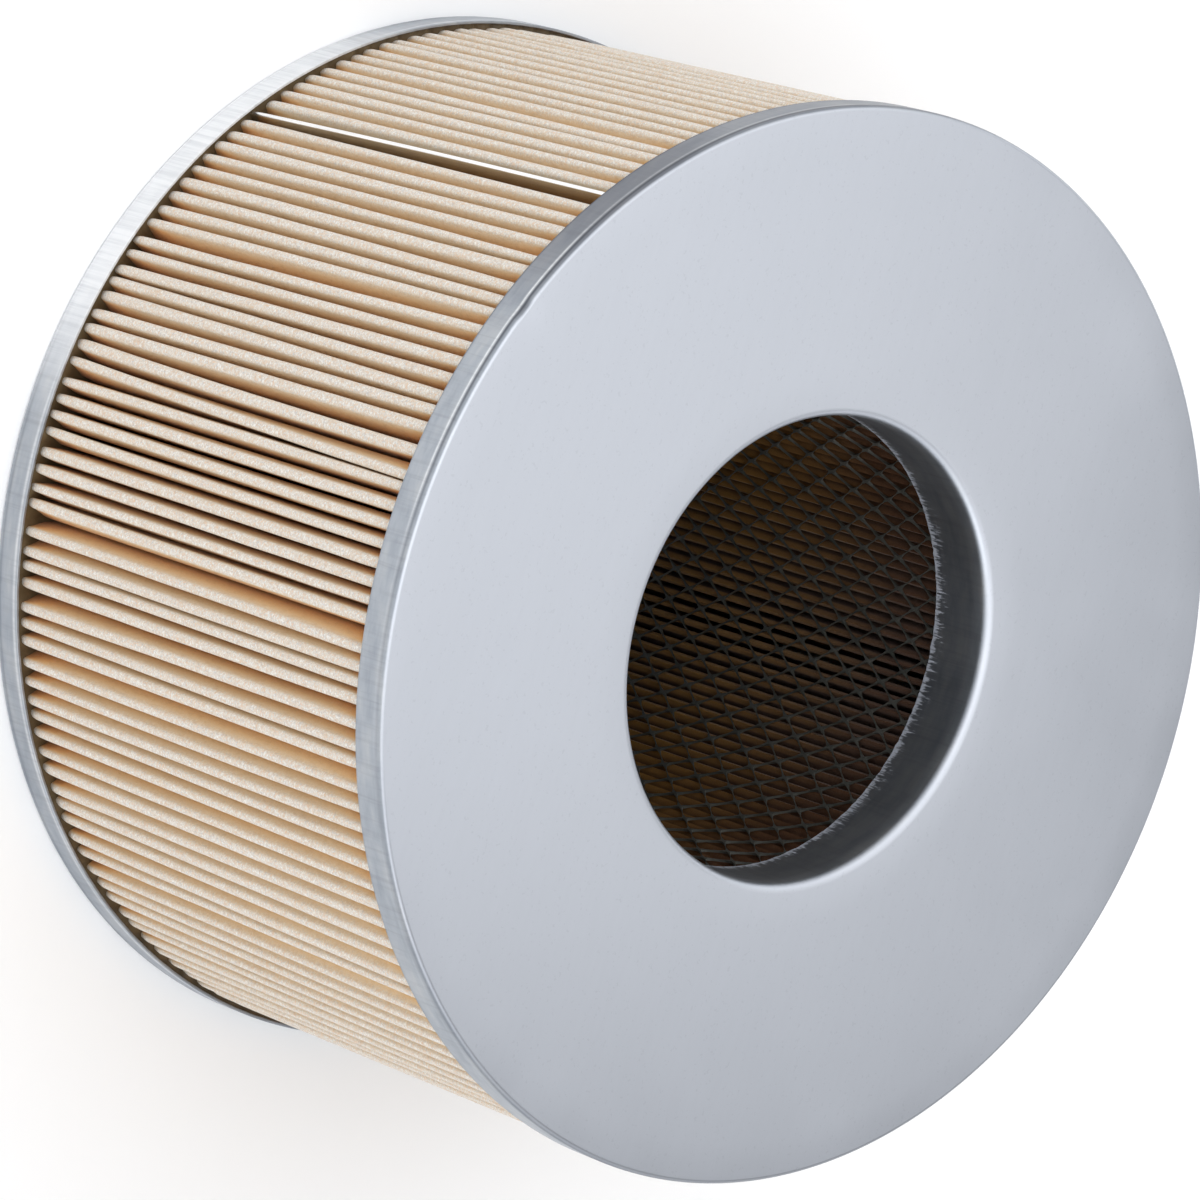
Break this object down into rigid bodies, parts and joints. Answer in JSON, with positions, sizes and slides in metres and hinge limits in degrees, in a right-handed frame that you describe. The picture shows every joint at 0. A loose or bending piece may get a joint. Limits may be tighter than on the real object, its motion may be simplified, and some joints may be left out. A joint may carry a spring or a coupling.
{
  "type": "air filter element",
  "caption": "Round air filter element: a pleated paper ring between flat sheet-metal end caps, open at the front through an inward neck over a diamond-mesh inner tube.",
  "frame": {"origin": "centre of the closed end cap's outer face, so the element stands on it", "axes": "+Z along the axis towards the open end cap; the pleat seam is on the -X -Y side"},
  "size_m": [0.27, 0.27, 0.155],
  "materials": {
    "cap_steel": "satin galvanised sheet",
    "filter_paper": "matt creped filter paper",
    "bright_strip": "bright rolled strip",
    "expanded_steel": "dull dark expanded metal",
    "adhesive": "set potting adhesive"
  },
  "bodies": {
    "root": {"front_end_cap": "cap_steel", "back_end_cap": "cap_steel", "pleated_media": "filter_paper", "pleat_seam_clip": "bright_strip", "inner_support_tube": "expanded_steel", "front_potting": "adhesive", "back_potting": "adhesive"}
  },
  "joints": []
}
